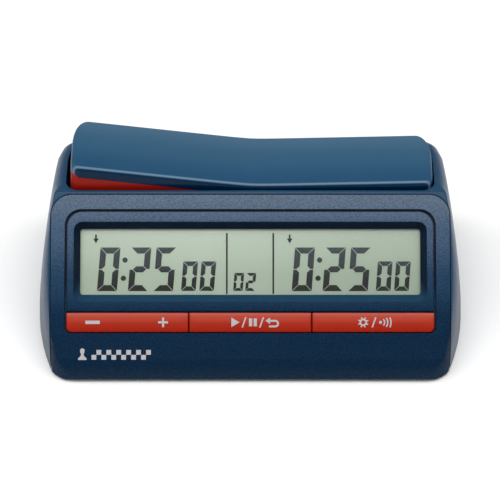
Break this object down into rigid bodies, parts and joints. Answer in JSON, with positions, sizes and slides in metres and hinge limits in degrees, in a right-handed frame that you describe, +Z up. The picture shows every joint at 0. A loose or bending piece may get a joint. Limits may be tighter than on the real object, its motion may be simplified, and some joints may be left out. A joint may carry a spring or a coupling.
{
  "type": "chess clock",
  "caption": "Digital chess clock with a sloping liquid crystal display panel, a row of keys, a rocking players' lever on top and a sliding battery door underneath.",
  "frame": {"origin": "middle of the footprint, on the surface that the feet stand on", "axes": "+Z up, -Y towards the players (the display side), +X to the right as seen by someone who reads the display"},
  "size_m": [0.1538, 0.0917, 0.0599],
  "materials": {
    "smooth_blue": "satin moulded dark blue",
    "grained_blue": "fine leather grain, dark blue",
    "lever_red": "satin moulded dark red",
    "key_red": "satin moulded red",
    "clear_lens": "clear polished",
    "lcd_green": "grey green liquid crystal cell",
    "reflector": "satin foil",
    "black_plastic": "matt black",
    "board": "green solder mask",
    "epoxy": "glossy black resin",
    "bright_metal": "nickel plated",
    "steel": "zinc plated",
    "silicone": "grey silicone",
    "carbon": "carbon filled rubber",
    "foot_rubber": "matt black rubber",
    "cell": "printed sleeve without lettering",
    "wire_red": "red insulation",
    "wire_black": "black insulation"
  },
  "bodies": {
    "housing": {"base_cover": "black_plastic", "battery_cell_1": "cell", "battery_cell_2": "cell", "battery_wire_1": "wire_red", "battery_wire_2": "wire_black", "board_screw_1": "steel", "board_screw_2": "steel", "board_screw_3": "steel", "board_screw_4": "steel", "buzzer": "black_plastic", "capacitor": "cell", "casing_screw_1": "steel", "casing_screw_2": "steel", "casing_screw_3": "steel", "casing_screw_4": "steel", "clock_chip": "epoxy", "contact_plate_1": "bright_metal", "contact_plate_2": "bright_metal", "contact_spring_1": "bright_metal", "contact_spring_2": "bright_metal", "display_bezel": "grained_blue", "display_lens": "clear_lens", "foot_1": "foot_rubber", "foot_2": "foot_rubber", "foot_3": "foot_rubber", "foot_4": "foot_rubber", "front_panel": "grained_blue", "keypad_mat": "silicone", "lcd_glass": "lcd_green", "lcd_holder": "black_plastic", "lcd_reflector": "reflector", "lever_pin": "steel", "lever_switch_left": "black_plastic", "lever_switch_right": "black_plastic", "main_board": "board", "power_switch": "bright_metal", "quartz_crystal": "bright_metal", "switch_board": "board", "upper_casing": "smooth_blue", "zebra_strip_lower": "silicone", "zebra_strip_upper": "silicone"},
    "lever": {"lever_cap": "smooth_blue", "lever_base": "lever_red"},
    "plus_minus": {"plus_minus_key": "key_red", "minus_pill": "carbon", "plus_pill": "carbon"},
    "start": {"start_key": "key_red", "start_pill": "carbon"},
    "setup": {"setup_key": "key_red", "setup_pill": "carbon"},
    "door": {"battery_door": "black_plastic"},
    "knob": {"power_knob": "black_plastic"}
  },
  "joints": [
    {"name": "lever_rock", "type": "hinge", "parent": "housing", "child": "lever", "pos_m": [0, 0.0153, 0.0422], "axis": [0, -1, 0], "range_deg": [0, 6.3]},
    {"name": "plus_minus_rock", "type": "hinge", "parent": "housing", "child": "plus_minus", "pos_m": [-0.0435, -0.03189, 0.01562], "axis": [0, 0.7314, 0.682], "range_deg": [-1.5, 1.5], "stiffness_Nm_per_rad": 0.5},
    {"name": "start_press", "type": "slide", "parent": "housing", "child": "start", "axis": [0, 0.682, -0.7314], "range_m": [0, 0.0007], "stiffness_N_per_m": 900, "springref_m": -0.0006},
    {"name": "setup_press", "type": "slide", "parent": "housing", "child": "setup", "axis": [0, 0.682, -0.7314], "range_m": [0, 0.0007], "stiffness_N_per_m": 900, "springref_m": -0.0006},
    {"name": "door_slide", "type": "slide", "parent": "housing", "child": "door", "axis": [0, 1, 0], "range_m": [0, 0.036]},
    {"name": "power_slide", "type": "slide", "parent": "housing", "child": "knob", "axis": [1, 0, 0], "range_m": [0, 0.0045]}
  ]
}
